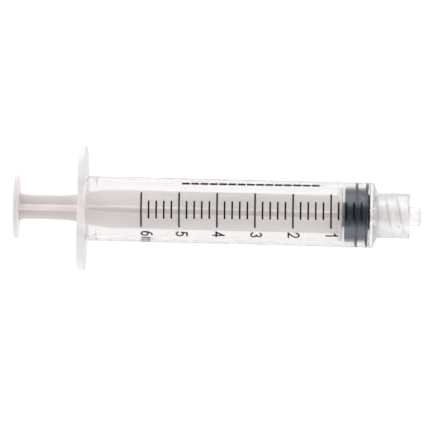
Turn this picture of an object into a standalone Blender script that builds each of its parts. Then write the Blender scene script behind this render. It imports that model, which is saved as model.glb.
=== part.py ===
"""Luer-lock dosing syringe, 5 mL class, scale to 6 mL, plunger pushed home.

Three moulded pieces, as the real one has: the barrel with its flange, tip and threaded
collar, the plunger rod, and the rubber stopper that snaps over the rod's head.
Metres, +Z up. The syringe lies along X with its tip at +X and its flange standing across Y,
so that the flange's lower flat touches z = 0 and the middle of its length is at x = 0.
"""

import math

import bmesh
import bpy
from mathutils import Matrix, Vector

MM = 0.001

# ---- Driving sizes: barrel -------------------------------------------------------------
BORE_DIAMETER = 12.35 * MM
BARREL_WALL = 0.93 * MM
BORE_LENGTH = 63.92 * MM            # bore floor to the flange's back face
END_WALL = 1.59 * MM                # between the bore floor and the collar's pocket
SHOULDER_LENGTH = 0.86 * MM         # cone between the collar and the tube
BEAD_HEIGHT = 0.24 * MM             # the bead in the mouth that keeps the plunger in
BEAD_LENGTH = 0.70 * MM
BEAD_FROM_FLANGE = 1.95 * MM        # flange's front face to the middle of the bead
MOUTH_FLARE = 0.55 * MM             # how much wider than the bore the mouth opens

# ---- Driving sizes: finger flange ------------------------------------------------------
FLANGE_WING = 6.6 * MM              # how far the round ends stand out of the tube, along Y
FLANGE_STEP = 1.3 * MM              # how far the two flats stand out of the tube, along Z
FLANGE_THICKNESS = 1.67 * MM
FLANGE_EDGE = 0.50 * MM             # rounding of the rim

# ---- Driving sizes: tip and lock collar ------------------------------------------------
TIP_END_DIAMETER = 4.05 * MM
TIP_TAPER = 0.06                    # growth of diameter per length, the 6 % Luer taper
TIP_PROUD = 2.34 * MM               # how far the tip stands out of the collar
TIP_EDGE = 0.35 * MM
FLUID_BORE_DIAMETER = 2.0 * MM
COLLAR_WALL = 0.95 * MM
COLLAR_LENGTH = 7.22 * MM
COLLAR_THREAD_ROOT = 8.0 * MM
THREAD_HEIGHT = 0.50 * MM
THREAD_LEAD = 5.0 * MM
THREAD_STARTS = 2
THREAD_BASE_WIDTH = 1.1 * MM
THREAD_CREST_WIDTH = 0.45 * MM
THREAD_INSET = 0.35 * MM            # from the collar's rim to the thread's first flank
THREAD_RUNOUT = 0.40 * MM           # from the thread's last flank to the collar's floor

# ---- Driving sizes: stopper ------------------------------------------------------------
STOPPER_LENGTH = 5.2 * MM
RIB_FRONT_LENGTH = 0.66 * MM
RIB_BACK_LENGTH = 0.55 * MM
RIB_BACK_FROM_FRONT = 2.37 * MM     # front face to the start of the second rib
SOCKET_FRONT_WALL = 1.55 * MM
SOCKET_LIP = 1.2 * MM               # length of the narrow mouth that holds the rod's head

# ---- Driving sizes: plunger rod --------------------------------------------------------
THUMB_DIAMETER = 14.0 * MM
THUMB_THICKNESS = 1.05 * MM
THUMB_GAP = 13.13 * MM              # flange's back face to the thumb disc, pushed home
THUMB_EDGE = 0.40 * MM
BLADE_THICKNESS = 1.15 * MM
BLADE_WIDTH = 8.36 * MM             # inside the barrel
WAIST_WIDTH = 5.45 * MM             # between the flange and the thumb disc
ROOT_FLARE = 0.33 * MM              # extra half width where a blade meets the thumb disc
ROOT_FLARE_LENGTH = 3.0 * MM
FLARE_OUTSIDE = 4.1 * MM            # how far outside the barrel's mouth the blades start to widen
FLARE_LENGTH = 12.0 * MM
FRONT_DISC_THICKNESS = 0.87 * MM
NECK_DIAMETER = 5.5 * MM
HEAD_UNDERCUT = 1.1 * MM            # how far the head stands out of the neck, radially
ROD_TURN = math.radians(6.0)        # how far the cross of blades is turned from upright

# ---- Clearances ------------------------------------------------------------------------
SEAL_CLEARANCE = 0.05 * MM          # radial, rib to bore
LAND_CLEARANCE = 0.17 * MM          # radial, the rubber behind the ribs to bore
WAIST_CLEARANCE = 0.27 * MM         # radial, the rubber between the ribs to bore
DISC_CLEARANCE = 0.17 * MM          # radial, the rod's front disc to bore
SOCKET_CLEARANCE = 0.10 * MM        # radial and axial, rod head in its socket
STOPPER_TO_FLOOR = 0.30 * MM        # rubber to bore floor, pushed home
STOPPER_TO_DISC = 0.55 * MM         # rubber to the rod's front disc

# ---- Mesh fineness ---------------------------------------------------------------------
SEGMENTS = 48                       # around every turned piece, so that the facets line up
THREAD_STEPS_PER_TURN = 32
CURVE_STEPS = 10                    # along each curve of a blade
ARC_STEPS = 3                       # along each small rounding
OVERLAP = 0.25 * MM                 # how far shapes that are joined reach into each other

# ---- Places worked out from the sizes; a station is measured back from the tip's end ------
COLLAR_RIM = TIP_PROUD
COLLAR_ROOT = COLLAR_RIM + COLLAR_LENGTH
SHOULDER_END = COLLAR_ROOT + SHOULDER_LENGTH
BORE_FLOOR = COLLAR_ROOT + END_WALL
FLANGE_BACK = BORE_FLOOR + BORE_LENGTH
FLANGE_FRONT = FLANGE_BACK - FLANGE_THICKNESS
BEAD_CENTRE = FLANGE_FRONT - BEAD_FROM_FLANGE
STOPPER_FRONT = BORE_FLOOR + STOPPER_TO_FLOOR
STOPPER_BACK = STOPPER_FRONT + STOPPER_LENGTH
SOCKET_FLOOR = STOPPER_FRONT + SOCKET_FRONT_WALL
SOCKET_LIP_START = STOPPER_BACK - SOCKET_LIP
DISC_FRONT = STOPPER_BACK + STOPPER_TO_DISC
DISC_BACK = DISC_FRONT + FRONT_DISC_THICKNESS
THUMB_FRONT = FLANGE_BACK + THUMB_GAP
OVERALL_LENGTH = THUMB_FRONT + THUMB_THICKNESS

BORE_RADIUS = BORE_DIAMETER / 2
BARREL_RADIUS = BORE_RADIUS + BARREL_WALL
AXIS_HEIGHT = BARREL_RADIUS + FLANGE_STEP
HEAD_RADIUS = NECK_DIAMETER / 2 + HEAD_UNDERCUT

PLASTIC_WHITE = (0.80, 0.77, 0.75, 1.0)
PLASTIC_CLEAR = (0.90, 0.89, 0.87, 1.0)
RUBBER_BLACK = (0.012, 0.012, 0.014, 1.0)


def arc(centre_station, centre_radius, size, start_degrees, end_degrees):
    """Points of a rounding, as (station, radius); 0 degrees points back, 90 points outward."""
    points = []
    for step in range(ARC_STEPS + 1):
        angle = math.radians(start_degrees + (end_degrees - start_degrees) * step / ARC_STEPS)
        points.append((centre_station + size * math.cos(angle),
                       centre_radius + size * math.sin(angle)))
    return points


def turned_object(name, profile, is_ring):
    """Spin a profile of (station, radius) points about the syringe's axis.

    A ring's profile is a closed loop clear of the axis; the others start and end on it.
    """
    mesh_data = bmesh.new()
    points = [mesh_data.verts.new((OVERALL_LENGTH / 2 - station, 0.0, AXIS_HEIGHT + radius))
              for station, radius in profile]
    pairs = list(zip(points, points[1:]))
    if is_ring:
        pairs.append((points[-1], points[0]))
    edges = [mesh_data.edges.new(pair) for pair in pairs]
    bmesh.ops.spin(mesh_data, geom=points + edges, cent=(0.0, 0.0, AXIS_HEIGHT), axis=(1, 0, 0),
                   dvec=(0, 0, 0), angle=2 * math.pi, steps=SEGMENTS, use_merge=True)
    bmesh.ops.remove_doubles(mesh_data, verts=mesh_data.verts, dist=0.001 * MM)
    return finished_object(name, mesh_data)


def finished_object(name, mesh_data):
    """Turn a bmesh into a smooth-shaded object with its faces pointing outward."""
    bmesh.ops.recalc_face_normals(mesh_data, faces=mesh_data.faces)
    mesh = bpy.data.meshes.new(name)
    mesh_data.to_mesh(mesh)
    mesh_data.free()
    mesh.shade_smooth()
    mesh.set_sharp_from_angle(angle=math.radians(30))
    shape = bpy.data.objects.new(name, mesh)
    bpy.context.scene.collection.objects.link(shape)
    return shape


def set_origin_on_axis(shape, station):
    """Put an object's origin on the syringe's axis without moving its surface."""
    place = Vector((OVERALL_LENGTH / 2 - station, 0.0, AXIS_HEIGHT))
    shape.data.transform(Matrix.Translation(-place))
    shape.location = place


def join_by_union(body, addition):
    """Fuse a helper shape into a body and leave the helper as a wire guide."""
    modifier = body.modifiers.new("join_" + addition.name, 'BOOLEAN')
    modifier.operation = 'UNION'
    modifier.solver = 'EXACT'
    modifier.object = addition
    addition.hide_render = True
    addition.display_type = 'WIRE'


def set_finish(shape, name, colour, roughness):
    """Give an object its own Principled material."""
    material = bpy.data.materials.new(name)
    material.use_nodes = True
    shader = material.node_tree.nodes["Principled BSDF"]
    shader.inputs["Base Color"].default_value = colour
    shader.inputs["Roughness"].default_value = roughness
    shader.inputs["Metallic"].default_value = 0.0
    shape.data.materials.append(material)


def barrel_profile():
    """The wall of the barrel as one closed loop: outside from tip to flange, inside back."""
    tip_end_radius = TIP_END_DIAMETER / 2
    tip_root_radius = tip_end_radius + TIP_TAPER / 2 * COLLAR_ROOT
    pocket_radius = COLLAR_THREAD_ROOT / 2
    collar_radius = pocket_radius + COLLAR_WALL
    rim_radius = BARREL_RADIUS + FLANGE_WING
    bead_start = BEAD_CENTRE - BEAD_LENGTH / 2
    bead_end = BEAD_CENTRE + BEAD_LENGTH / 2
    bead_radius = BORE_RADIUS - BEAD_HEIGHT
    fluid_radius = FLUID_BORE_DIAMETER / 2

    outside = [(0.0, fluid_radius)]
    outside += arc(TIP_EDGE, tip_end_radius - TIP_EDGE, TIP_EDGE, 180, 90)
    outside += [(COLLAR_ROOT, tip_root_radius), (COLLAR_ROOT, pocket_radius)]
    outside += [(COLLAR_RIM, pocket_radius), (COLLAR_RIM, collar_radius)]
    outside += [(COLLAR_ROOT, collar_radius), (SHOULDER_END, BARREL_RADIUS)]
    outside += [(FLANGE_FRONT, BARREL_RADIUS)]
    outside += arc(FLANGE_FRONT + FLANGE_EDGE, rim_radius - FLANGE_EDGE, FLANGE_EDGE, 180, 90)
    outside += arc(FLANGE_BACK - FLANGE_EDGE, rim_radius - FLANGE_EDGE, FLANGE_EDGE, 90, 0)

    inside = [(FLANGE_BACK, BORE_RADIUS + MOUTH_FLARE), (FLANGE_FRONT, BORE_RADIUS)]
    inside += [(bead_end, BORE_RADIUS), (BEAD_CENTRE, bead_radius), (bead_start, BORE_RADIUS)]
    inside += [(BORE_FLOOR, BORE_RADIUS), (BORE_FLOOR, fluid_radius)]
    return outside + inside


def cut_flats(shape):
    """Slice the round flange to its two flats; the tube and collar stay inside the cuts."""
    mesh_data = bmesh.new()
    mesh_data.from_mesh(shape.data)
    for side in (-1, 1):
        plane_point = (0.0, 0.0, AXIS_HEIGHT + side * (BARREL_RADIUS + FLANGE_STEP))
        cut = bmesh.ops.bisect_plane(
            mesh_data, geom=mesh_data.verts[:] + mesh_data.edges[:] + mesh_data.faces[:],
            dist=0.0001 * MM, plane_co=plane_point, plane_no=(0, 0, side), clear_outer=True)
        open_edges = [item for item in cut["geom_cut"] if isinstance(item, bmesh.types.BMEdge)]
        bmesh.ops.edgeloop_fill(mesh_data, edges=open_edges)
    mesh_data.to_mesh(shape.data)
    mesh_data.free()
    shape.data.set_sharp_from_angle(angle=math.radians(30))


def thread_ridge(name, start_angle):
    """One start of the collar's thread: a right-hand ridge that grows out of the wall."""
    root_radius = COLLAR_THREAD_ROOT / 2 + OVERLAP
    crest_radius = COLLAR_THREAD_ROOT / 2 - THREAD_HEIGHT
    section = [(-THREAD_BASE_WIDTH / 2, root_radius), (-THREAD_CREST_WIDTH / 2, crest_radius),
               (THREAD_CREST_WIDTH / 2, crest_radius), (THREAD_BASE_WIDTH / 2, root_radius)]
    first_station = COLLAR_RIM + THREAD_INSET + THREAD_BASE_WIDTH / 2
    length = COLLAR_LENGTH - THREAD_INSET - THREAD_BASE_WIDTH - THREAD_RUNOUT
    steps = round(length / THREAD_LEAD * THREAD_STEPS_PER_TURN)
    mesh_data = bmesh.new()
    rings = []
    for step in range(steps + 1):
        turns = step / THREAD_STEPS_PER_TURN
        angle = start_angle - 2 * math.pi * turns
        station = first_station + THREAD_LEAD * turns
        rings.append([mesh_data.verts.new((OVERALL_LENGTH / 2 - station - offset,
                                           radius * math.cos(angle),
                                           AXIS_HEIGHT + radius * math.sin(angle)))
                      for offset, radius in section])
    for ring, following in zip(rings, rings[1:]):
        for corner in range(len(section)):
            after = (corner + 1) % len(section)
            mesh_data.faces.new((ring[corner], ring[after], following[after], following[corner]))
    mesh_data.faces.new(rings[0])
    mesh_data.faces.new(rings[-1])
    return finished_object(name, mesh_data)


def make_barrel():
    barrel = turned_object("barrel", barrel_profile(), is_ring=True)
    cut_flats(barrel)
    for start in range(THREAD_STARTS):
        ridge = thread_ridge(f"thread_start_{start + 1}", 2 * math.pi * start / THREAD_STARTS)
        join_by_union(barrel, ridge)
    set_finish(barrel, "clear_polypropylene", PLASTIC_CLEAR, 0.25)


def make_stopper():
    """The rubber cup: two sealing ribs outside, and a socket with a narrow mouth inside."""
    land_radius = BORE_RADIUS - LAND_CLEARANCE
    waist_radius = BORE_RADIUS - WAIST_CLEARANCE
    seal_radius = BORE_RADIUS - SEAL_CLEARANCE
    front_rib_end = STOPPER_FRONT + RIB_FRONT_LENGTH
    back_rib_start = STOPPER_FRONT + RIB_BACK_FROM_FRONT
    back_rib_end = back_rib_start + RIB_BACK_LENGTH
    rib_slope = (seal_radius - waist_radius) / 2
    mouth_radius = NECK_DIAMETER / 2 + SOCKET_CLEARANCE
    socket_radius = HEAD_RADIUS + SOCKET_CLEARANCE

    profile = [(STOPPER_FRONT, 0.0), (STOPPER_FRONT, waist_radius)]
    profile += [(STOPPER_FRONT + rib_slope, seal_radius), (front_rib_end, seal_radius)]
    profile += [(front_rib_end + rib_slope, waist_radius), (back_rib_start - rib_slope, waist_radius)]
    profile += [(back_rib_start, seal_radius), (back_rib_end, seal_radius)]
    profile += [(back_rib_end + rib_slope, land_radius), (STOPPER_BACK, land_radius)]
    profile += [(STOPPER_BACK, mouth_radius), (SOCKET_LIP_START, mouth_radius)]
    profile += [(SOCKET_LIP_START, socket_radius), (SOCKET_FLOOR, socket_radius)]
    profile += [(SOCKET_FLOOR, 0.0)]
    stopper = turned_object("stopper", profile, is_ring=False)
    set_finish(stopper, "black_rubber", RUBBER_BLACK, 0.6)
    set_origin_on_axis(stopper, STOPPER_FRONT)


def blade_half_width(distance):
    """Half width of a blade at a distance from the thumb disc: flared root, waist, full width."""
    waist = WAIST_WIDTH / 2
    root = max(0.0, 1.0 - distance / ROOT_FLARE_LENGTH)
    along = min(1.0, max(0.0, (distance - THUMB_GAP + FLARE_OUTSIDE) / FLARE_LENGTH))
    blend = along * along * (3 - 2 * along)
    return waist + ROOT_FLARE * root ** 3 + (BLADE_WIDTH / 2 - waist) * blend


def make_blade(name, turn):
    """One flat blade of the rod's cross, from the thumb disc to the front disc."""
    distances = [-OVERLAP]
    distances += [ROOT_FLARE_LENGTH * step / CURVE_STEPS for step in range(CURVE_STEPS + 1)]
    distances += [THUMB_GAP - FLARE_OUTSIDE + FLARE_LENGTH * step / CURVE_STEPS
                  for step in range(CURVE_STEPS + 1)]
    distances += [THUMB_FRONT - DISC_BACK + OVERLAP]
    outline = [(distance, blade_half_width(max(0.0, distance))) for distance in distances]
    outline += [(distance, -half_width) for distance, half_width in reversed(outline)]

    mesh_data = bmesh.new()
    start_x = OVERALL_LENGTH / 2 - THUMB_FRONT
    corners = [mesh_data.verts.new((start_x + distance, side, -BLADE_THICKNESS / 2))
               for distance, side in outline]
    flat = mesh_data.faces.new(corners)
    grown = bmesh.ops.extrude_face_region(mesh_data, geom=[flat])
    raised = [item for item in grown["geom"] if isinstance(item, bmesh.types.BMVert)]
    bmesh.ops.translate(mesh_data, verts=raised, vec=(0.0, 0.0, BLADE_THICKNESS))
    bmesh.ops.rotate(mesh_data, verts=mesh_data.verts, cent=(0, 0, 0),
                     matrix=Matrix.Rotation(turn, 3, 'X'))
    bmesh.ops.translate(mesh_data, verts=mesh_data.verts, vec=(0.0, 0.0, AXIS_HEIGHT))
    return finished_object(name, mesh_data)


def thumb_disc_profile():
    radius = THUMB_DIAMETER / 2
    profile = [(THUMB_FRONT, 0.0)]
    profile += arc(THUMB_FRONT + THUMB_EDGE, radius - THUMB_EDGE, THUMB_EDGE, 180, 90)
    profile += arc(OVERALL_LENGTH - THUMB_EDGE, radius - THUMB_EDGE, THUMB_EDGE, 90, 0)
    profile += [(OVERALL_LENGTH, 0.0)]
    return profile


def front_disc_profile():
    """Front disc, the neck through the stopper's mouth, and the head in its socket."""
    disc_radius = BORE_RADIUS - DISC_CLEARANCE
    neck_radius = NECK_DIAMETER / 2
    head_front = SOCKET_FLOOR + SOCKET_CLEARANCE
    head_back = SOCKET_LIP_START - SOCKET_CLEARANCE
    head_edge = HEAD_UNDERCUT / 2
    profile = [(head_front, 0.0), (head_front, HEAD_RADIUS - head_edge)]
    profile += [(head_front + head_edge, HEAD_RADIUS), (head_back, HEAD_RADIUS)]
    profile += [(head_back, neck_radius), (DISC_FRONT, neck_radius)]
    profile += [(DISC_FRONT, disc_radius), (DISC_BACK, disc_radius), (DISC_BACK, 0.0)]
    return profile


def make_rod():
    rod = make_blade("plunger_rod", ROD_TURN)
    join_by_union(rod, make_blade("second_blade", ROD_TURN + math.pi / 2))
    join_by_union(rod, turned_object("thumb_disc", thumb_disc_profile(), is_ring=False))
    join_by_union(rod, turned_object("front_disc", front_disc_profile(), is_ring=False))
    set_finish(rod, "white_polypropylene", PLASTIC_WHITE, 0.4)
    set_origin_on_axis(rod, THUMB_FRONT)


def main():
    for shape in list(bpy.data.objects):
        bpy.data.objects.remove(shape)
    make_barrel()
    make_stopper()
    make_rod()


main()
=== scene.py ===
"""Looks of a Luer-lock dosing syringe: clear barrel, white plunger rod, black rubber stopper.

Laid out as an add-on: sizes and colours are properties, each group of pieces has an operator,
and main() runs them in order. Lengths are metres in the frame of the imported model, where the
syringe lies along X with its tip at +X and its printed scale faces +Z.
"""

import math

import bpy
import numpy as np
from mathutils import Matrix, Vector


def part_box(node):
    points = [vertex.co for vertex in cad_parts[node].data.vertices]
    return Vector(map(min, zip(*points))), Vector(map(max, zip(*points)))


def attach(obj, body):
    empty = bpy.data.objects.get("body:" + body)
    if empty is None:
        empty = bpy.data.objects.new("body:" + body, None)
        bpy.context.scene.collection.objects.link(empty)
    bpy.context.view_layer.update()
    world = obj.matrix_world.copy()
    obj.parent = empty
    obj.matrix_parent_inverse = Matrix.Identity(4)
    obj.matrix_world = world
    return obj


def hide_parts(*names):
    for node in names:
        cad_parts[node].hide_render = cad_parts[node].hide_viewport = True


bl_info = {
    "name": "Dosing Syringe Looks",
    "version": (1, 0, 0),
    "blender": (4, 5, 0),
    "location": "3D View > Sidebar > Syringe",
    "description": "Builds the visible surfaces and finishes of a three-piece dosing syringe",
    "category": "Object",
}

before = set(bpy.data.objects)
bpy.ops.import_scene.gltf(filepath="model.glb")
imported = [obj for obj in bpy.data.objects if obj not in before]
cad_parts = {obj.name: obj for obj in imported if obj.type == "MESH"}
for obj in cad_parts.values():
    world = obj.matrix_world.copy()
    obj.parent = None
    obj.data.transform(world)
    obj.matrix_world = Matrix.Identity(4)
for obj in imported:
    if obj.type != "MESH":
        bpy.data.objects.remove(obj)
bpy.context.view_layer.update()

MM = 0.001
BARREL_LOW, BARREL_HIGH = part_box("barrel")
ROD_LOW, ROD_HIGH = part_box("plunger_rod")
STOPPER_LOW, STOPPER_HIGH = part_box("stopper")
AXIS_HEIGHT = (ROD_LOW.z + ROD_HIGH.z) / 2
TIP_END = BARREL_HIGH.x
FLANGE_BACK = BARREL_LOW.x
THUMB_END = ROD_LOW.x
HEAD_FRONT = ROD_HIGH.x
STOPPER_BACK = STOPPER_LOW.x
STOPPER_FRONT = STOPPER_HIGH.x
FLANGE_REACH = BARREL_HIGH.y
FLANGE_FLAT = AXIS_HEIGHT - BARREL_LOW.z
THUMB_RADIUS = ROD_HIGH.y
PANEL_TAB = "Syringe"

# How far the middle of each numeral stands before its long line, in millimetres.
NUMERAL_SHIFTS = {1: 0.17, 2: 0.15, 3: 0.25, 4: 0.34, 5: 0.55, 6: 1.2}
SHORT_STEPS = 5      # spaces between short lines from one long line to the next
LONG_STEPS = 6       # spaces between long lines along the whole scale

# Painted shade: what is left of the rod's colour where it is painted darkest, for the shade of
# thick plastic that less light passes through.
PAINTED_SHADE_TINT = (0.54, 0.51, 0.50)

# The studio's dome: height of a direction's unit vector, and the light that comes from there.
# It is brightest at a third of the way up and darkest overhead, where the dark stopper mirrors it.
DOME = ((0.03, (0.68, 0.69, 0.70)), (0.3, (0.97, 0.97, 0.98)), (0.75, (0.82, 0.83, 0.86)),
        (0.92, (0.22, 0.24, 0.30)))
LEFT_WINDOW, RIGHT_WINDOW = (-0.15, 0.9, 0.4), (0.1, -0.95, 0.25)
WINDOW_EDGE, WINDOW_CORE = 0.78, 0.95    # cosines from a window's middle to its edge and core


# ---- Small helpers for properties and colours ----------------------------------------------

def linear(hex_code):
    """sRGB hex such as 'f4f2ee' as linear red, green, blue."""
    values = np.array([int(hex_code[i:i + 2], 16) for i in (0, 2, 4)]) / 255
    return tuple(np.where(values <= 0.04045, values / 12.92, ((values + 0.055) / 1.055) ** 2.4))


def length(label, millimetres, text):
    return bpy.props.FloatProperty(name=label, description=text, default=millimetres * MM,
                                   precision=5, unit='LENGTH', subtype='DISTANCE')


def turn(label, degrees, text):
    return bpy.props.FloatProperty(name=label, description=text, default=math.radians(degrees),
                                   unit='ROTATION', subtype='ANGLE')


def amount(label, value, text):
    return bpy.props.FloatProperty(name=label, description=text, default=value, precision=4)


def colour(label, hex_code, text):
    return bpy.props.FloatVectorProperty(name=label, description=text, default=linear(hex_code),
                                         size=3, min=0.0, max=1.0, subtype='COLOR')


def portion(label, value, text):
    return bpy.props.FloatProperty(name=label, description=text, default=value, precision=4,
                                   min=0.0, max=1.0, subtype='FACTOR')


# ---- Settings ------------------------------------------------------------------------------

class BarrelSettings(bpy.types.PropertyGroup):
    bore: length("Bore", 12.35, "Inner diameter of the tube")
    wall: length("Wall", 0.93, "Thickness of the tube's wall")
    floor: length("Bore floor", 11.15, "From the tip's end to the floor of the bore")
    shoulder_corner: length("Shoulder corner", 10.42, "From the tip's end to the edge of the tube")
    shoulder_length: length("Shoulder length", 0.86, "Length of the cone before the collar")
    collar_diameter: length("Collar", 9.9, "Outer diameter of the lock collar")
    collar_rim: length("Collar rim", 2.34, "From the tip's end to the collar's rim")
    thread_root: length("Thread root", 8.0, "Inner diameter of the collar between threads")
    thread_height: length("Thread height", 0.5, "How far the thread stands in")
    thread_lead: length("Thread lead", 5.0, "Advance of one turn of the thread")
    thread_turn: turn("Thread turn", 70.0, "How far the thread's start is turned about the axis")
    thread_base: length("Thread base", 1.1, "Width of the thread at its root")
    thread_crest: length("Thread crest", 0.45, "Width of the thread at its crest")
    tip_diameter: length("Tip", 4.05, "Diameter of the Luer tip at its end")
    tip_taper: amount("Tip taper", 0.06, "Growth of the tip's diameter per length")
    tip_edge: length("Tip edge", 0.38, "Rounding at the tip's end")
    fluid_bore: length("Fluid bore", 2.0, "Diameter of the channel through the tip")
    flange_thickness: length("Flange", 1.67, "Thickness of the finger flange")
    flange_edge: length("Flange edge", 0.5, "Rounding of the flange's rim")
    bead_height: length("Bead height", 0.24, "How far the retaining bead stands in")
    bead_length: length("Bead length", 1.0, "Length of the retaining bead")
    bead_from_flange: length("Bead place", 1.95, "From the flange's front face to the bead")
    mouth_flare: length("Mouth flare", 0.55, "How much the mouth is wider than the bore")
    wall_clarity: portion("Wall clarity", 0.99, "Light that passes straight through the wall")
    flange_clarity: portion("Flange clarity", 0.55, "Light that passes straight through the flange")
    tip_clarity: portion("Tip clarity", 0.97, "Light that passes straight through the tip")
    wall_bend: amount("Wall bend", 1.22, "Index of refraction of the wall")
    flange_bend: amount("Flange bend", 1.25, "Index of refraction of the flange")
    tip_bend: amount("Tip bend", 1.36, "Index of refraction of the tip and collar")
    wall_blur: portion("Wall blur", 0.22, "Roughness of the wall")
    flange_blur: portion("Flange blur", 0.3, "Roughness of the flange")
    tip_blur: portion("Tip blur", 0.35, "Roughness of the tip and collar")
    wall_streak: portion("Wall streak", 0.02, "How much flow streaks change the wall's roughness")
    thick_streak: portion("Thick streak", 0.05, "The same where the plastic is thick")
    plastic: colour("Plastic", "f9f7f6", "Tint of one pass through the wall")
    flange_plastic: colour("Flange plastic", "fff9f8", "The same for the flange")
    tip_plastic: colour("Tip plastic", "fdfbfa", "The same for the thick tip and collar")


class RodSettings(bpy.types.PropertyGroup):
    thumb_thickness: length("Thumb disc", 1.05, "Thickness of the thumb disc")
    thumb_edge: length("Thumb edge", 0.42, "Rounding of the thumb disc's rim")
    dish_rim: length("Dish rim", 1.2, "Width of the rim round the thumb disc's shallow dish")
    dish_depth: length("Dish depth", 0.2, "Depth of the thumb disc's shallow dish")
    gate_mark: length("Gate mark", 1.6, "Diameter of the moulding mark in the dish")
    blade: length("Blade", 1.15, "Thickness of a blade")
    blade_width: length("Blade width", 8.36, "Width of the cross inside the barrel")
    waist_width: length("Waist", 5.45, "Width of the cross outside the barrel")
    root_flare: length("Root flare", 0.33, "Extra half width at the thumb disc")
    root_length: length("Root length", 3.0, "Length of the flare at the thumb disc")
    flare_start: length("Flare start", 9.03, "From the thumb disc to where the blades widen")
    flare_length: length("Flare length", 12.0, "Length over which the blades widen")
    fillet: length("Fillet", 0.35, "Fillet where the blades meet a disc")
    disc_back: length("Disc", 18.07, "From the tip's end to the back of the front disc")
    disc_thickness: length("Disc thickness", 0.87, "Thickness of the front disc")
    disc_diameter: length("Disc diameter", 12.0, "Diameter of the front disc")
    neck: length("Neck", 5.5, "Diameter of the neck in the stopper's mouth")
    head: length("Head", 7.7, "Diameter of the head in the stopper's socket")
    head_back: length("Head back", 15.35, "From the tip's end to the back of the head")
    cross_turn: turn("Cross turn", 3.5, "How far the cross is turned from upright")
    # Painted shade: these three darken the rod's colour outside the barrel, on a blade seen on its
    # edge and on the thumb disc's rim, for the shade of thick plastic that less light passes
    # through.
    waist_depth: portion("Waist depth", 0.5, "How deep the plastic looks outside the barrel")
    tip_depth: portion("Blade depth", 0.65, "How deep it looks where a blade is seen on its edge")
    rim_depth: portion("Rim depth", 0.75, "How deep it looks on the thumb disc's rim")
    plastic: colour("Plastic", "f4f0ef", "Colour of the rod")


class StopperSettings(bpy.types.PropertyGroup):
    land: length("Land", 12.06, "Diameter behind the second rib")
    waist: length("Waist", 11.85, "Diameter between the ribs")
    grip: length("Grip", 0.02, "How far the ribs press into the wall")
    front_rib: length("Front rib", 0.66, "Length of the front rib")
    back_rib: length("Back rib", 0.55, "Length of the second rib")
    back_rib_place: length("Second rib", 2.37, "From the front face to the second rib")
    front_wall: length("Front wall", 1.55, "Rubber in front of the socket")
    lip: length("Lip", 1.2, "Length of the socket's narrow mouth")
    mouth: length("Mouth", 5.7, "Diameter of the socket's mouth")
    socket: length("Socket", 7.9, "Diameter of the socket")
    rubber: colour("Rubber", "0e0f12", "Colour of the rubber")


class PrintSettings(bpy.types.PropertyGroup):
    zero: length("Zero", 11.30, "From the tip's end to the zero line")
    per_unit: length("Per unit", 8.30, "Distance from one long line to the next")
    line_width: length("Line width", 0.38, "Width of a printed line")
    long_reach: turn("Long line", 32.2, "Half angle that a long line spans")
    short_reach: turn("Short line", 16.0, "Half angle that a short line spans")
    skew: turn("Skew", 0.95, "How far the print is out of line with the barrel")
    skew_centre: length("Skew centre", 61.5, "From the tip's end to where the print is on top")
    digit_height: length("Digit height", 2.7, "Height of a numeral")
    digit_width: length("Digit width", 1.75, "Width of a numeral")
    digit_start: length("Digit start", 5.2, "Round the wall from the top to the numerals")
    digit_stroke: length("Digit stroke", 0.37, "Width of a numeral's stroke")
    unit_stroke: length("Unit stroke", 0.28, "Width of a stroke of the unit's letters")
    letter_m: length("Letter m", 2.1, "Width of the unit's first letter")
    letter_l: length("Letter L", 1.5, "Width of the unit's second letter")
    unit_gap: length("Unit gap", 0.25, "From the last numeral to the unit")
    letter_step: length("Letter step", 2.9, "From the start of one letter to the next")
    dash_count: bpy.props.IntProperty(name="Dashes", description="Number of dashes at the side",
                                      default=15, min=0)
    dash_start: length("Dash start", 22.5, "From the tip's end to the first dash")
    dash_pitch: length("Dash pitch", 2.03, "From one dash to the next")
    dash_length: length("Dash length", 1.0, "Length of a dash, ends left out")
    dash_width: length("Dash width", 0.75, "Width of a dash")
    dash_turn: turn("Dash place", 55.0, "From the top round to the dashes")
    ink_height: length("Ink height", 0.015, "Thickness of the ink")
    ink: colour("Ink", "080708", "Colour of the ink")


class StageSettings(bpy.types.PropertyGroup):
    view_height: length("Camera distance", 1340.0, "From the camera to the syringe")
    view_width: length("View width", 94.3, "Width of the picture at the syringe")
    roll: turn("Roll", 1.45, "How far the picture is turned")
    lean: length("Lean", 43.0, "How far the camera stands towards the tip")
    aim_along: length("Aim along", -0.5, "Where the camera looks, along the syringe")
    aim_across: length("Aim across", -0.8, "Where the camera looks, across the syringe")
    floor_tint: colour("Floor", "d2d2d2", "Colour of the floor")
    light: amount("Light", 1.14, "Strength of the studio's light")
    left_window: amount("Left window", 1.3, "Extra brightness of the soft window at the left")
    right_window: amount("Right window", 1.0, "Extra brightness of the one at the right")
    far_glow: amount("Far glow", 0.18, "Light given off by the floor far from the syringe")
    floor_glow: amount("Floor glow", 0.59, "Light given off by the floor at the syringe")
    glow_near: length("Glow near", 70.0, "From the middle to where the floor's glow starts to fade")
    glow_far: length("Glow far", 280.0, "From the middle to where it has faded")
    floor_size: length("Floor size", 6000.0, "Half the side of the floor")
    floor_drop: length("Floor drop", 0.2, "How far the floor lies below the syringe")


# ---- Surfaces ------------------------------------------------------------------------------

def smooth(value):
    """0 below 0, 1 above 1, and 3 t^2 - 2 t^3 between."""
    value = np.clip(value, 0, 1)
    return value * value * (3 - 2 * value)


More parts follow.
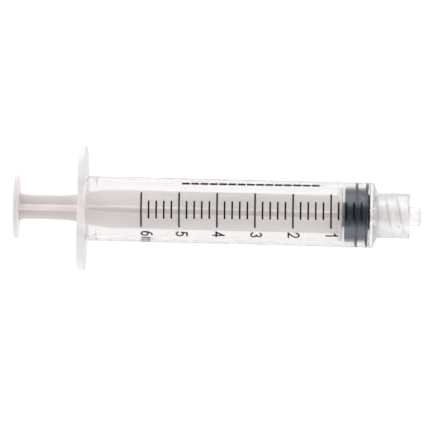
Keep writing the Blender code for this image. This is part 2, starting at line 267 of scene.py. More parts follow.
def rounded(corners, steps=5):
    """Points of an outline whose corners (x, radius, rounding) are replaced by tangent arcs.

    An arc's centre lies on the bisector of the two sides, rounding / sin(half angle) from the
    corner, and its points turn evenly from one tangent point to the other.
    """
    corners = np.array(corners, float)
    points = [corners[:1, :2]]
    for before, here, after in zip(corners, corners[1:], corners[2:]):
        place, size = here[:2], here[2]
        if size <= 0:
            points.append(place[None])
            continue
        back = (before[:2] - place) / np.linalg.norm(before[:2] - place)
        on = (after[:2] - place) / np.linalg.norm(after[:2] - place)
        half = math.acos(np.clip(back @ on, -1, 1)) / 2
        centre = place + (back + on) / np.linalg.norm(back + on) * size / math.sin(half)
        start = place + back * size / math.tan(half) - centre
        end = place + on * size / math.tan(half) - centre
        share = np.linspace(0, 1, steps + 1)[:, None]
        sweep = math.pi - 2 * half
        arc = (np.sin((1 - share) * sweep) * start + np.sin(share * sweep) * end) / math.sin(sweep)
        points.append(centre + arc)
    points.append(corners[-1:, :2])
    return np.concatenate(points)


def refined(profile, spacing):
    """The same outline with extra points, so that no straight stretch is longer than spacing."""
    gaps = np.linalg.norm(np.diff(profile, axis=0), axis=1)
    counts = np.maximum(1, np.ceil(gaps / spacing).astype(int))
    along = np.concatenate([start + np.arange(n) / n for start, n in enumerate(counts)])
    along = np.append(along, len(profile) - 1)
    index = np.arange(len(profile))
    return np.stack([np.interp(along, index, profile[:, 0]),
                     np.interp(along, index, profile[:, 1])], axis=1)


def even_angles(count):
    return np.arange(count) * 2 * math.pi / count


def turned_grid(stations, radii, angles):
    """Rows of points round the axis: x from each station, (y, z) = radius * (cos, sin).

    radii has one value for each row, or one for each row and angle.
    """
    radii = np.broadcast_to(radii if np.ndim(radii) == 2 else radii[:, None],
                            (len(stations), len(angles)))
    x = np.broadcast_to((TIP_END - stations)[:, None], radii.shape)
    return np.stack([x, radii * np.cos(angles), AXIS_HEIGHT + radii * np.sin(angles)], axis=-1)


def grid_faces(rows, columns, first=0, wrap_rows=False):
    """Quads between neighbouring rows of a grid whose columns close round."""
    row = np.arange(rows if wrap_rows else rows - 1)[:, None]
    column = np.arange(columns)[None]
    after, beside = (row + 1) % rows, (column + 1) % columns
    corners = [row * columns + column, row * columns + beside,
               after * columns + beside, after * columns + column]
    return first + np.stack(corners, axis=-1).reshape(-1, 4)


def skinned(name, shells, wrap_rows=False, row_slots=None, painted_shade=None):
    """A closed surface over each grid of points (rows, columns, 3), as one object.

    Each grid's first and last rows are closed by a fan from their middle, unless its rows wrap.
    Faces are turned outward where six times the enclosed volume, the sum of the corner triple
    products, comes out negative. row_slots gives the material slot of each row's faces, and the
    last argument a value for each point of the one grid: painted shade, which the material reads
    as its own attribute.
    """
    points, quads, fans, first = [], [], [], 0
    for grid in shells:
        rows, columns = grid.shape[:2]
        cloud = grid.reshape(-1, 3)
        own_quads = grid_faces(rows, columns, 0, wrap_rows)
        own_fans = np.zeros((0, 3), int)
        if not wrap_rows:
            ring = np.arange(columns)
            next_ring = (ring + 1) % columns
            last = (rows - 1) * columns
            middle = np.full(columns, len(cloud))
            own_fans = np.concatenate([
                np.stack([next_ring, ring, middle], axis=1),
                np.stack([last + ring, last + next_ring, middle + 1], axis=1)])
            cloud = np.concatenate([cloud, grid[:1].mean(axis=1), grid[-1:].mean(axis=1)])
        triangles = np.concatenate([own_quads[:, [0, 1, 2]], own_quads[:, [0, 2, 3]], own_fans])
        a, b, c = (cloud[triangles[:, i]] - cloud.mean(axis=0) for i in range(3))
        if np.einsum('ij,ij->i', a, np.cross(b, c)).sum() < 0:
            own_quads, own_fans = own_quads[:, ::-1], own_fans[:, ::-1]
        points.append(cloud)
        quads.append(own_quads + first)
        fans.append(own_fans + first)
        first += len(cloud)
    mesh = bpy.data.meshes.new(name)
    faces = np.concatenate(quads).tolist() + np.concatenate(fans).tolist()
    mesh.from_pydata(np.concatenate(points).tolist(), [], faces)
    if row_slots is not None:
        slots = np.zeros(len(faces), np.int32)
        slots[:len(row_slots) * shells[0].shape[1]] = np.repeat(row_slots, shells[0].shape[1])
        mesh.polygons.foreach_set("material_index", slots)
    # The painted shade: a value for each point that the material paints into its colour as
    # darkening.
    if painted_shade is not None:
        values = np.zeros(len(mesh.vertices), np.float32)
        values[:painted_shade.size] = painted_shade.ravel()
        mesh.attributes.new("painted_shade", 'FLOAT', 'POINT').data.foreach_set("value", values)
    mesh.validate()
    mesh.shade_smooth()
    piece = bpy.data.objects.new(name, mesh)
    bpy.context.scene.collection.objects.link(piece)
    return piece


# ---- Materials -----------------------------------------------------------------------------

def add_node(owner, kind, settings=None, links=None):
    """Add a node to a material or world, set its inputs or attributes by name, and link into it."""
    node = owner.node_tree.nodes.new(kind)
    for key, value in (settings or {}).items():
        if key in node.inputs:
            node.inputs[key].default_value = value
        else:
            setattr(node, key, value)
    for key, source in (links or {}).items():
        owner.node_tree.links.new(source, node.inputs[key])
    return node


def new_material(name, settings):
    """A material and its shader, with the shader's own inputs set by name."""
    material = bpy.data.materials.new(name)
    material.use_nodes = True
    shader = material.node_tree.nodes["Principled BSDF"]
    for key, value in settings.items():
        shader.inputs[key].default_value = value
    return material, shader


def link(owner, source, socket):
    owner.node_tree.links.new(source, socket)


def clouds(material, scale, detail):
    """Noise in the piece's own metres, as many lumps per metre as scale says along each axis."""
    place = add_node(material, "ShaderNodeTexCoord")
    spread = add_node(material, "ShaderNodeMapping", {"Scale": scale},
                      {"Vector": place.outputs["Object"]})
    noise = add_node(material, "ShaderNodeTexNoise", {"Scale": 1.0, "Detail": detail},
                     {"Vector": spread.outputs["Vector"]})
    return noise.outputs["Fac"]


def vary_roughness(material, shader, source, low, high):
    span = add_node(material, "ShaderNodeMapRange", {"To Min": low, "To Max": high},
                    {"Value": source})
    link(material, span.outputs["Result"], shader.inputs["Roughness"])


def mixed(material, factor, first, second):
    """A colour between two colours; first may also be another node's colour."""
    mix = add_node(material, "ShaderNodeMix", {"data_type": 'RGBA'}, {0: factor})
    for socket, value in ((6, first), (7, second)):
        if isinstance(value, bpy.types.NodeSocket):
            link(material, value, mix.inputs[socket])
        else:
            mix.inputs[socket].default_value = (*value, 1)
    return mix.outputs[2]


def scaled(base, factors):
    return tuple(np.array(base) * factors)


def milky_polypropylene(name, tint, clarity, bend, blur, streak):
    """Clarified polypropylene, injection moulded: clear in a thin wall, milky where it is thick.

    The eye gets a soft white body with weak refraction and a polished skin. The share of light
    that passes straight through is clarity, and the rest scatters inside. Polypropylene has an
    IOR of 1.49; haze softens its refraction, so bend is less. Flow streaks along the barrel, 17 mm
    long and 2 mm wide, change the roughness from blur by streak either way.
    """
    material, shader = new_material(name, {
        "Base Color": (*tint, 1), "Transmission Weight": clarity, "IOR": bend,
        "Subsurface Weight": 1.0, "Subsurface Radius": (1.0, 0.97, 0.94),
        "Subsurface Scale": 0.003, "Coat Weight": 0.1, "Coat Roughness": 0.06})
    streaks = clouds(material, (60, 500, 500), 2.0)
    vary_roughness(material, shader, streaks, blur - streak, blur + streak)
    return material


def white_polypropylene(base):
    """Natural white polypropylene, satin moulded: light sinks in and comes out softly.

    Thin blades glow a little. Painted shade: where a blade is seen on its edge, on the waist
    outside the barrel and on the thumb disc's rim, the colour is painted darker and warmer, for the
    shade of thick plastic that less light passes through; the mesh's own attribute says where.
    Clouds 3 mm across vary tint and roughness, and a grain of 0.1 mm breaks the shine.
    """
    material, shader = new_material("natural_polypropylene_satin", {
        "IOR": 1.49, "Subsurface Weight": 1.0, "Subsurface Radius": (1.0, 0.96, 0.92),
        "Subsurface Scale": 0.0025})
    cloud = clouds(material, (350, 350, 350), 3.0)
    shade_attribute = add_node(material, "ShaderNodeAttribute", {"attribute_name": "painted_shade"})
    surface = mixed(material, cloud, scaled(base, 0.95), base)
    # Painted shade: the colour is darkened towards the painted shade tint where the mesh's
    # attribute says.
    tint = mixed(material, shade_attribute.outputs["Fac"], surface, scaled(base, PAINTED_SHADE_TINT))
    link(material, tint, shader.inputs["Base Color"])
    vary_roughness(material, shader, cloud, 0.46, 0.6)
    grain = clouds(material, (9000, 9000, 9000), 2.0)
    bump = add_node(material, "ShaderNodeBump", {"Strength": 0.08, "Distance": 0.02 * MM},
                    {"Height": grain})
    link(material, bump.outputs["Normal"], shader.inputs["Normal"])
    return material


def black_rubber(base):
    """Black butyl rubber, moulded and wiped with silicone oil: dark with a soft, bluish wet sheen.

    Clouds of 1 mm make the oil's film uneven.
    """
    material, shader = new_material("butyl_rubber_siliconised", {
        "IOR": 1.52, "Specular IOR Level": 0.85, "Specular Tint": (0.7, 0.8, 1.0, 1),
        "Coat Weight": 0.1, "Coat Roughness": 0.14})
    cloud = clouds(material, (900, 900, 900), 4.0)
    tint = mixed(material, cloud, scaled(base, 0.7), scaled(base, 1.4))
    link(material, tint, shader.inputs["Base Color"])
    vary_roughness(material, shader, cloud, 0.2, 0.32)
    return material


def printing_ink(base):
    """Black pad-printing ink: matt, with hardly any shine, and uneven at 0.4 mm by the pad."""
    material, shader = new_material("pad_printing_ink", {"IOR": 1.5, "Specular IOR Level": 0.15})
    patches = clouds(material, (2500, 2500, 2500), 3.0)
    tint = mixed(material, patches, scaled(base, 0.6), scaled(base, 1.6))
    link(material, tint, shader.inputs["Base Color"])
    vary_roughness(material, shader, patches, 0.45, 0.7)
    return material


# ---- Barrel --------------------------------------------------------------------------------

def flange_outline(angles):
    """Distance from the axis to the flange's rim: a circle cut by two flats.

    The smaller of the circle's radius and flat / |sin(angle)|, blended by a power mean so that
    the four corners are rounded.
    """
    power = 18.0
    flat = np.abs(np.sin(angles)) / FLANGE_FLAT
    return (FLANGE_REACH ** -power + flat ** power) ** (-1 / power)


def barrel_profile(sizes):
    """Station and radius along the barrel's wall: outside from tip to flange, then inside back."""
    bore, tube = sizes.bore / 2, sizes.bore / 2 + sizes.wall
    collar, pocket, fluid = sizes.collar_diameter / 2, sizes.thread_root / 2, sizes.fluid_bore / 2
    tip = sizes.tip_diameter / 2
    collar_root = sizes.shoulder_corner - sizes.shoulder_length
    tip_root = tip + sizes.tip_taper / 2 * collar_root
    back = TIP_END - FLANGE_BACK
    front = back - sizes.flange_thickness
    bead = front - sizes.bead_from_flange
    small, tiny = 0.25 * MM, 0.08 * MM
    corners = [
        (0.0, fluid + tiny, 0), (0.0, tip, sizes.tip_edge), (collar_root, tip_root, 2 * small),
        (collar_root, pocket, small), (sizes.collar_rim, pocket, tiny),
        (sizes.collar_rim, collar, 2 * tiny), (collar_root, collar, small),
        (sizes.shoulder_corner, tube, small), (front, tube, small),
        (front, FLANGE_REACH, sizes.flange_edge), (back, FLANGE_REACH, sizes.flange_edge),
        (back, bore + sizes.mouth_flare, small), (front, bore, 2 * small),
        (bead + sizes.bead_length / 2, bore, small), (bead, bore - sizes.bead_height, 3 * small),
        (bead - sizes.bead_length / 2, bore, small), (sizes.floor, bore, 2 * small),
        (sizes.floor, fluid, small), (tiny, fluid, 0), (0.0, fluid + tiny, 0)]
    return refined(rounded(corners)[:-1], 2.0 * MM)


def barrel_points(sizes, columns=192):
    """The barrel's whole wall as one closed loop of rows, carried round the axis.

    The rows of the flange are pulled in to flange_outline, and the rows of the collar's pocket
    are pushed in by the thread: a trapezoid in the distance to the nearest ridge, where a ridge
    lies at x = lead * (angle + thread_turn) / full turn plus a whole number of pitches. Also
    returns the rows' material slots: 0 the wall, 1 the flange, and 2 the shoulder, collar, tip and
    the floor of the bore.
    """
    station, radius = barrel_profile(sizes).T
    pocket, tube = sizes.thread_root / 2, sizes.bore / 2 + sizes.wall
    collar_root = sizes.shoulder_corner - sizes.shoulder_length
    thread_rows = 90
    first, last = np.flatnonzero(np.isclose(radius, pocket, atol=0.001 * MM)
                                 & (station < collar_root))[[0, -1]]
    dense = np.linspace(station[first], station[last], thread_rows)
    station = np.concatenate([station[:first], dense, station[last + 1:]])
    radius = np.concatenate([radius[:first], np.full(thread_rows, pocket), radius[last + 1:]])
    angles = even_angles(columns)

    pitch = sizes.thread_lead / 2
    x = TIP_END - station[:, None]
    ridge = (x - sizes.thread_lead * (angles[None] + sizes.thread_turn) / (2 * math.pi)) / pitch
    distance = np.abs(ridge - np.round(ridge)) * pitch
    slope = (sizes.thread_base - sizes.thread_crest) / 2
    tooth = smooth((sizes.thread_base / 2 - distance) / slope)
    end_gap = np.minimum(station - sizes.collar_rim, collar_root - station)
    fade = np.clip((end_gap - 0.25 * MM) / (0.35 * MM), 0, 1)
    fade[:first] = fade[first + thread_rows:] = 0
    radii = radius[:, None] - sizes.thread_height * tooth * fade[:, None]

    flat_start, flat_end = tube + 0.3 * MM, FLANGE_REACH - sizes.flange_edge
    pull = np.clip((radius - flat_start) / (flat_end - flat_start), 0, 1)
    radii = radii - pull[:, None] * (FLANGE_REACH - flange_outline(angles))[None]

    front = TIP_END - FLANGE_BACK - sizes.flange_thickness
    slots = np.zeros(len(station), int)
    slots[(station > front - 0.1 * MM) & (radius > sizes.bore / 2 + sizes.mouth_flare / 2)] = 1
    inside = radius < sizes.bore / 2 + 0.01 * MM
    slots[(station < sizes.shoulder_corner - 0.1 * MM)
          | ((station < sizes.floor + 0.6 * MM) & inside)] = 2
    return turned_grid(station, radii, angles), slots


class SYRINGE_OT_barrel(bpy.types.Operator):
    """Build the clear barrel with its flange, shoulder, tip and threaded collar"""
    bl_idname = "syringe.barrel"
    bl_label = "Barrel"

    def execute(self, context):
        sizes = context.scene.syringe_barrel
        grid, slots = barrel_points(sizes)
        barrel = skinned("barrel_moulding", [grid], wrap_rows=True, row_slots=slots)
        for name, tint, *optics in (
                ("clarified_polypropylene_wall", sizes.plastic, sizes.wall_clarity,
                 sizes.wall_bend, sizes.wall_blur, sizes.wall_streak),
                ("clarified_polypropylene_flange", sizes.flange_plastic, sizes.flange_clarity,
                 sizes.flange_bend, sizes.flange_blur, sizes.thick_streak),
                ("clarified_polypropylene_tip", sizes.tip_plastic, sizes.tip_clarity,
                 sizes.tip_bend, sizes.tip_blur, sizes.thick_streak)):
            barrel.data.materials.append(milky_polypropylene(name, tint, *optics))
        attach(barrel, "barrel")
        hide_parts("barrel")
        return {'FINISHED'}


# ---- Stopper -------------------------------------------------------------------------------

class SYRINGE_OT_stopper(bpy.types.Operator):
    """Build the rubber stopper with its two sealing ribs and its socket"""
    bl_idname = "syringe.stopper"
    bl_label = "Stopper"

    def execute(self, context):
        sizes = context.scene.syringe_stopper
        front, back = TIP_END - STOPPER_FRONT, TIP_END - STOPPER_BACK
        seal = context.scene.syringe_barrel.bore / 2 + sizes.grip
        waist, land, mouth, socket = (d / 2 for d in (sizes.waist, sizes.land, sizes.mouth,
                                                      sizes.socket))
        slope, small = 0.12 * MM, 0.1 * MM
        rib_end = front + sizes.front_rib
        rib_start = front + sizes.back_rib_place
        rib_back = rib_start + sizes.back_rib
        socket_floor, lip_start = front + sizes.front_wall, back - sizes.lip
        corners = [
            (front, 0.2 * MM, 0), (front, waist, small), (front + slope, seal, small),
            (rib_end, seal, small), (rib_end + slope, waist, small),
            (rib_start - slope, waist, small), (rib_start, seal, small), (rib_back, seal, small),
            (rib_back + slope, land, small), (back, land, 2 * small), (back, mouth, small),
            (lip_start, mouth, small), (lip_start, socket, small),
            (socket_floor, socket, 4 * small), (socket_floor, 0.2 * MM, 0)]
        profile = refined(rounded(corners), 1.0 * MM)
        grid = turned_grid(profile[:, 0], profile[:, 1], even_angles(144))
        stopper = skinned("rubber_stopper", [grid])
        stopper.data.materials.append(black_rubber(sizes.rubber))
        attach(stopper, "stopper")
        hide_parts("stopper")
        return {'FINISHED'}


# ---- Plunger rod ---------------------------------------------------------------------------

def widening(distance, sizes):
    """0 in the waist, 1 where the blades have their full width, by distance from the thumb disc."""
    return smooth((distance - sizes.flare_start) / sizes.flare_length)


def blade_half_width(distance, sizes):
    """Flared root at the thumb disc, a waist, then a smooth step to the full width."""
    waist = sizes.waist_width / 2
    root = np.clip(1 - distance / sizes.root_length, 0, 1) ** 3
    full = sizes.blade_width / 2
    return waist + sizes.root_flare * root + (full - waist) * widening(distance, sizes)


def cross_outline(angles, half_width, half_thickness):
    """Distance from the axis to the outline of a cross of two blades.

    Each blade is a superellipse, (|cos|/width)^p + (|sin|/thickness)^p = distance^-p, and the
    two are joined by a power mean of their distances, which fillets the inner corners.
    """
    power, join = 14.0, 7.0
    across, up = np.abs(np.cos(angles)), np.abs(np.sin(angles))
    flat = ((across / half_width) ** power + (up / half_thickness) ** power) ** (-1 / power)
    tall = ((up / half_width) ** power + (across / half_thickness) ** power) ** (-1 / power)
    return (flat ** join + tall ** join) ** (1 / join)


def crowded_angles(count):
    """Angles round the axis that crowd where the blades' corners are.

    Their density is 1 plus 5 times a bell over the angle from the nearest blade's middle, centred
    on a blade's corner.
    """
    corner, spread = math.radians(9.5), math.radians(3.5)
    fine = np.linspace(0, 2 * math.pi, 7201)
    from_blade = np.abs((fine + math.pi / 4) % (math.pi / 2) - math.pi / 4)
    weight = 1 + 5 * np.exp(-((from_blade - corner) / spread) ** 2)
    total = np.concatenate([[0], np.cumsum((weight[1:] + weight[:-1]) / 2)])
    return np.interp(np.arange(count) * total[-1] / count, total, fine)


def blade_depth(angles, cross, half_width, sizes):
    """Painted shade on the blades, for the shade where light passes through thick plastic: most at
    a blade's tip, less inward from it.

    The upright blade is looked into from its tip, so there it fades over ten times the distance.
    """
    across, up = np.abs(np.cos(angles)), np.abs(np.sin(angles))
    inward = half_width[:, None] - cross * np.maximum(across, up)
    fade = np.where(up > across, 2.4 * MM, 0.24 * MM)
    return np.clip(0.8 - (inward - 0.2 * MM) / fade, 0, sizes.tip_depth)


def rod_points(sizes):
    """Rows from the thumb face to the head: circles, the cross of blades, then circles.

    Each row has a station, a circle's radius, the cross's half sizes and the share of cross in
    it. A disc's face is the rows where that share goes from 0 to 1 at one station. Also returns
    the painted shade at each point: darkening painted into the colour for the shade of thick
    plastic.
    """
    outer = TIP_END - THUMB_END
    inner = outer - sizes.thumb_thickness
    edge, fillet, half = sizes.thumb_edge, sizes.fillet, sizes.blade / 2
    dish, gate = THUMB_RADIUS - sizes.dish_rim, sizes.gate_mark / 2
    low = outer - sizes.dish_depth
    rim = rounded([(low, 0.2 * MM, 0), (low, gate, 0.05 * MM), (low - 0.1 * MM, gate + 0.1 * MM, 0),
                   (low, gate + 0.25 * MM, 0.05 * MM), (low, dish, 0.15 * MM),
                   (outer, dish + 0.4 * MM, 0.2 * MM), (outer, THUMB_RADIUS, edge),
                   (inner, THUMB_RADIUS, edge), (inner, THUMB_RADIUS * 0.75, 0)])
    disc = sizes.disc_diameter / 2
    disc_front = sizes.disc_back - sizes.disc_thickness
    head_front = TIP_END - HEAD_FRONT
    small = 0.12 * MM
    nose = rounded([
        (sizes.disc_back, disc * 0.85, 0), (sizes.disc_back, disc, small),
        (disc_front, disc, small), (disc_front, sizes.neck / 2, small),
        (sizes.head_back, sizes.neck / 2, small),
        (sizes.head_back, sizes.head / 2, small), (head_front, sizes.head / 2, 4 * small),
        (head_front, 0.3 * MM, 0)])

    quarter = np.linspace(0, math.pi / 2, 6)
    grow, climb = fillet * (1 - np.sin(quarter)), fillet * (1 - np.cos(quarter))
    run = np.linspace(0, 1, 60)[1:-1]
    blade_start, blade_end = inner - fillet, sizes.disc_back + fillet
    station = np.concatenate([inner - climb, blade_start + (blade_end - blade_start) * run,
                              (sizes.disc_back + climb)[::-1]])
    extra = np.concatenate([grow, np.zeros(len(run)), grow[::-1]])
    half_width = blade_half_width(inner - station, sizes) + extra
    half_thick = half + extra
    angles = crowded_angles(224)
    cross = cross_outline(angles[None], half_width[:, None], half_thick[:, None])

    faces = np.linspace(0, 1, 5)[1:-1, None]
    thumb_face = (1 - faces) * THUMB_RADIUS * 0.75 + faces * cross[:1]
    disc_face = (1 - faces[::-1]) * disc * 0.85 + faces[::-1] * cross[-1:]
    stations = np.concatenate([rim[:, 0], np.full(3, inner), station,
                               np.full(3, sizes.disc_back), nose[:, 0]])
    circle = np.ones(len(angles))
    radii = np.concatenate([rim[:, 1:] * circle, thumb_face, cross, disc_face,
                            nose[:, 1:] * circle])
    # Painted shade: darker on the waist outside the barrel, at the blades' tips and on the thumb
    # disc's rim.
    painted_shade = np.tile(sizes.waist_depth * (1 - widening(inner - stations, sizes))[:, None],
                    len(angles))
    blades = slice(len(rim) + len(thumb_face), len(rim) + len(thumb_face) + len(cross))
    painted_shade[blades] = np.maximum(painted_shade[blades], blade_depth(angles, cross, half_width, sizes))
    inward = (THUMB_RADIUS - rim[:, 1:]) / (0.2 * MM)
    painted_shade[:len(rim)] = np.maximum(painted_shade[:len(rim)], np.clip(1.5 - inward, 0, sizes.rim_depth))
    return turned_grid(stations, radii, angles), painted_shade


class SYRINGE_OT_rod(bpy.types.Operator):
    """Build the plunger rod: thumb disc, cross of blades, front disc, neck and head"""
    bl_idname = "syringe.rod"
    bl_label = "Plunger rod"

    def execute(self, context):
        sizes = context.scene.syringe_rod
        grid, painted_shade = rod_points(sizes)
        cosine, sine = math.cos(sizes.cross_turn), math.sin(sizes.cross_turn)
        y, z = grid[..., 1].copy(), grid[..., 2] - AXIS_HEIGHT
        grid[..., 1], grid[..., 2] = cosine * y - sine * z, AXIS_HEIGHT + sine * y + cosine * z
        rod = skinned("plunger_rod_moulding", [grid], painted_shade=painted_shade)
        rod.data.materials.append(white_polypropylene(sizes.plastic))
        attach(rod, "rod")
        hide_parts("plunger_rod")
        return {'FINISHED'}


# ---- Print ---------------------------------------------------------------------------------

def bow(centre_x, centre_y, radius_x, radius_y, start, end, steps=14):
    """Points of an ellipse's arc, angles in degrees."""
    angle = np.radians(np.linspace(start, end, steps))
    return np.stack([centre_x + radius_x * np.cos(angle), centre_y + radius_y * np.sin(angle)], 1)


def straight(*points):
    return np.array(points, float)


def numeral_strokes():
    """Each sign as strokes in a box 1 wide and 1 high, drawn with bows and straight lines."""
    return {
        "1": [straight((0.12, 0.74), (0.34, 0.84), (0.50, 1.0)),
              straight((0.50, 1.0), (0.50, 0.0))],
        "2": [np.concatenate([bow(0.50, 0.72, 0.42, 0.28, 170, -25),
                              straight((0.55, 0.32), (0.08, 0.02))]),
              straight((0.04, 0.0), (0.96, 0.0))],
        "3": [bow(0.48, 0.755, 0.38, 0.245, 150, -80), bow(0.48, 0.265, 0.44, 0.265, 80, -160)],
        "4": [straight((0.70, 0.0), (0.70, 1.0)), straight((0.70, 0.98), (0.04, 0.30)),
              straight((0.0, 0.28), (1.0, 0.28))],
        "5": [straight((0.90, 1.0), (0.24, 1.0)), straight((0.26, 1.0), (0.12, 0.52)),
              bow(0.48, 0.32, 0.44, 0.32, 140, -150)],
        "6": [bow(0.50, 0.31, 0.42, 0.31, 0, 360, 28), bow(0.72, 0.32, 0.64, 0.68, 178, 85)],
        "m": [straight((0.05, 0.0), (0.05, 0.74)), bow(0.28, 0.5, 0.22, 0.22, 180, 0),
              straight((0.50, 0.5), (0.50, 0.0)), bow(0.73, 0.5, 0.23, 0.22, 180, 0),
              straight((0.96, 0.5), (0.96, 0.0))],
        "L": [straight((0.10, 1.0), (0.10, 0.0)), straight((0.06, 0.0), (0.80, 0.0))],
    }


def stroke_ribbon(path, width):
    """Left and right edges of a stroke: the path moved sideways by half its width."""
    along = np.gradient(path, axis=0)
    along /= np.linalg.norm(along, axis=1, keepdims=True)
    side = np.stack([-along[:, 1], along[:, 0]], axis=1) * width / 2
    ends = np.zeros_like(path)
    ends[0], ends[-1] = -along[0] * width / 2, along[-1] * width / 2
    return path + ends + side, path + ends - side


def divided(path, spacing):
    """The same path with points no further apart than spacing."""
    gaps = np.linalg.norm(np.diff(path, axis=0), axis=1)
    distance = np.concatenate([[0], np.cumsum(gaps)])
    count = max(2, int(math.ceil(distance[-1] / spacing)) + 1)
    where = np.linspace(0, distance[-1], count)
    return np.stack([np.interp(where, distance, path[:, i]) for i in range(2)], axis=1)


def wrapped_stroke(path, width, surface_radius, ink_height, skew, skew_centre):
    """A closed film of ink along a path of (station, distance round from the top towards -Y).

    The flat drawing is first turned by the skew about the point on top at skew_centre, and then
    rolled onto the wall: angle = distance / radius.
    """
    edges = stroke_ribbon(divided(path, 0.25 * MM), width)
    loop = [(edges[0], 0), (edges[1], 0), (edges[1], 1), (edges[0], 1)]
    columns = []
    for edge, is_top in loop:
        station, around = edge[:, 0] - skew_centre, edge[:, 1]
        turned_station = station * math.cos(skew) - around * math.sin(skew) + skew_centre
        turned_around = station * math.sin(skew) + around * math.cos(skew)
        radius = surface_radius + (ink_height if is_top else -ink_height)
        angle = math.pi / 2 + turned_around / surface_radius
        columns.append(np.stack([TIP_END - turned_station, radius * np.cos(angle),
                                 AXIS_HEIGHT + radius * np.sin(angle)], axis=1))
    return np.stack(columns, axis=1)


class SYRINGE_OT_print(bpy.types.Operator):
    """Print the scale's lines, its numerals and a plain dashed line on the barrel"""
    bl_idname = "syringe.print"
    bl_label = "Printed scale"

    def execute(self, context):
        sizes = context.scene.syringe_print
        barrel = context.scene.syringe_barrel
        radius = barrel.bore / 2 + barrel.wall

        def film(path, width):
            return wrapped_stroke(path, width, radius, sizes.ink_height, sizes.skew,
                                  sizes.skew_centre)

        ink = printing_ink(sizes.ink)
        lines = []
        for step in range(SHORT_STEPS * LONG_STEPS + 1):
            reach = (sizes.short_reach if step % SHORT_STEPS else sizes.long_reach) * radius
            station = sizes.zero + sizes.per_unit * step / SHORT_STEPS
            half = reach - sizes.line_width / 2
            lines.append(film(straight((station, -half), (station, half)), sizes.line_width))
        signs = numeral_strokes()
        numbers = []

        height = sizes.digit_height - sizes.digit_stroke

        def draw(sign, station_middle, start, width, thick):
            for stroke in signs[sign]:
                path = np.stack([station_middle + (0.5 - stroke[:, 1]) * height,
                                 start + stroke[:, 0] * width], axis=1)
                numbers.append(film(path, thick))

        for number, shift in NUMERAL_SHIFTS.items():
            middle = sizes.zero + sizes.per_unit * number - shift * MM
            draw(str(number), middle, sizes.digit_start, sizes.digit_width - sizes.digit_stroke,
                 sizes.digit_stroke)
        unit_start = sizes.digit_start + sizes.digit_width + sizes.unit_gap
        draw("m", middle, unit_start, sizes.letter_m, sizes.unit_stroke)
        draw("L", middle, unit_start + sizes.letter_step, sizes.letter_l, sizes.unit_stroke)

        dashes = []
        around = -sizes.dash_turn * radius
        for step in range(sizes.dash_count):
            start = sizes.dash_start + step * sizes.dash_pitch
            dashes.append(film(straight((start, around), (start + sizes.dash_length, around)),
                               sizes.dash_width))
        for name, shells in (("scale_lines", lines), ("scale_numbers", numbers),
                             ("side_dashes", dashes)):
            piece = skinned(name, shells)
            piece.data.materials.append(ink)
            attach(piece, "barrel")
        return {'FINISHED'}


# ---- Stage ---------------------------------------------------------------------------------

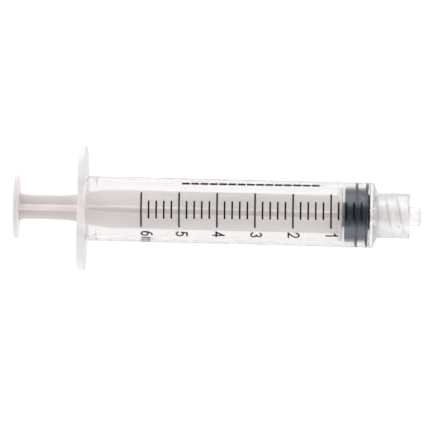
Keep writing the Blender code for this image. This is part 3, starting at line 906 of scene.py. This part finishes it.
class SYRINGE_OT_stage(bpy.types.Operator):
    """Set the pale floor, the soft studio light and the camera straight above"""
    bl_idname = "syringe.stage"
    bl_label = "Stage"

    def execute(self, context):
        sizes = context.scene.syringe_stage
        scene = context.scene
        scene.view_settings.view_transform = 'Standard'

        size = sizes.floor_size
        mesh = bpy.data.meshes.new("floor")
        mesh.from_pydata([(-size, -size, 0), (size, -size, 0), (size, size, 0), (-size, size, 0)],
                         [], [(0, 1, 2, 3)])
        floor = bpy.data.objects.new("floor", mesh)
        floor.location.z = -sizes.floor_drop
        scene.collection.objects.link(floor)
        # Painted light: the floor glows, brightest round the syringe and fading outward, a painted
        # pool of light that also washes out shadows on it.
        material, shader = new_material("pale_floor_painted_glow", {
            "Base Color": (*sizes.floor_tint, 1), "Roughness": 0.9,
            "Emission Color": (1, 1, 1, 1)})
        place = add_node(material, "ShaderNodeTexCoord")
        away = add_node(material, "ShaderNodeVectorMath", {"operation": 'LENGTH'},
                        {0: place.outputs["Object"]})
        glow = add_node(material, "ShaderNodeMapRange",
                        {"interpolation_type": 'SMOOTHSTEP', "From Min": sizes.glow_near,
                         "From Max": sizes.glow_far, "To Min": sizes.floor_glow,
                         "To Max": sizes.far_glow},
                        {"Value": away.outputs["Value"]})
        link(material, glow.outputs["Result"], shader.inputs["Emission Strength"])
        mesh.materials.append(material)

        world = bpy.data.worlds.new("studio")
        scene.world = world
        world.use_nodes = True
        place = add_node(world, "ShaderNodeTexCoord")
        split = add_node(world, "ShaderNodeSeparateXYZ", {}, {0: place.outputs["Generated"]})
        dome = add_node(world, "ShaderNodeValToRGB", {}, {"Fac": split.outputs["Z"]})
        ramp = dome.color_ramp
        ramp.elements[1].position, ramp.elements[0].position = DOME[-1][0], DOME[0][0]
        ramp.elements[1].color, ramp.elements[0].color = (*DOME[-1][1], 1), (*DOME[0][1], 1)
        for height, brightness in DOME[1:-1]:
            ramp.elements.new(height).color = (*brightness, 1)
        total = dome.outputs["Color"]
        for toward, brightness in ((LEFT_WINDOW, sizes.left_window),
                                   (RIGHT_WINDOW, sizes.right_window)):
            facing = add_node(world, "ShaderNodeVectorMath", {"operation": 'DOT_PRODUCT'},
                              {0: place.outputs["Generated"]})
            facing.inputs[1].default_value = Vector(toward).normalized()
            window = add_node(world, "ShaderNodeMapRange",
                              {"interpolation_type": 'SMOOTHSTEP', "From Min": WINDOW_EDGE,
                               "From Max": WINDOW_CORE, "To Max": brightness},
                              {"Value": facing.outputs["Value"]})
            total = add_node(world, "ShaderNodeVectorMath", {},
                             {0: total, 1: window.outputs["Result"]}).outputs["Vector"]
        light = world.node_tree.nodes["Background"]
        light.inputs["Strength"].default_value = sizes.light
        link(world, total, light.inputs["Color"])

        data = bpy.data.cameras.new("camera")
        data.sensor_width = 36.0
        data.angle = 2 * math.atan(sizes.view_width / 2 / sizes.view_height)
        camera = bpy.data.objects.new("camera", data)
        target = Vector((sizes.aim_along, sizes.aim_across, AXIS_HEIGHT))
        camera.location = target + Vector((sizes.lean, 0.0, sizes.view_height))
        backward = (camera.location - target).normalized()
        right = Vector((0, 1, 0)).cross(backward).normalized()
        up = backward.cross(right)
        square = Matrix((right, up, backward)).transposed()
        camera.rotation_euler = (square @ Matrix.Rotation(sizes.roll, 3, 'Z')).to_euler()
        scene.collection.objects.link(camera)
        scene.camera = camera
        context.view_layer.update()
        return {'FINISHED'}


# ---- Panel and registration ----------------------------------------------------------------

class SYRINGE_PT_panel(bpy.types.Panel):
    bl_label = "Dosing Syringe"
    bl_idname = "SYRINGE_PT_panel"
    bl_space_type = 'VIEW_3D'
    bl_region_type = 'UI'
    bl_category = PANEL_TAB

    def draw(self, context):
        for operator in OPERATORS:
            self.layout.operator(operator.bl_idname)
        for settings in SETTINGS:
            box = self.layout.box()
            group = getattr(context.scene, settings)
            for key in group.bl_rna.properties.keys():
                if key not in ("rna_type", "name"):
                    box.prop(group, key)


SETTINGS = {"syringe_barrel": BarrelSettings, "syringe_rod": RodSettings,
            "syringe_stopper": StopperSettings, "syringe_print": PrintSettings,
            "syringe_stage": StageSettings}
OPERATORS = (SYRINGE_OT_stage, SYRINGE_OT_barrel, SYRINGE_OT_stopper, SYRINGE_OT_rod,
             SYRINGE_OT_print)


def register():
    for group in (*SETTINGS.values(), *OPERATORS, SYRINGE_PT_panel):
        bpy.utils.register_class(group)
    for name, group in SETTINGS.items():
        setattr(bpy.types.Scene, name, bpy.props.PointerProperty(type=group))


def unregister():
    for name in SETTINGS:
        delattr(bpy.types.Scene, name)
    for group in (SYRINGE_PT_panel, *reversed(OPERATORS), *reversed(list(SETTINGS.values()))):
        bpy.utils.unregister_class(group)


def main():
    register()
    bpy.ops.syringe.stage()
    bpy.ops.syringe.barrel()
    bpy.ops.syringe.stopper()
    bpy.ops.syringe.rod()
    bpy.ops.syringe.print()


if __name__ == "__main__":
    main()
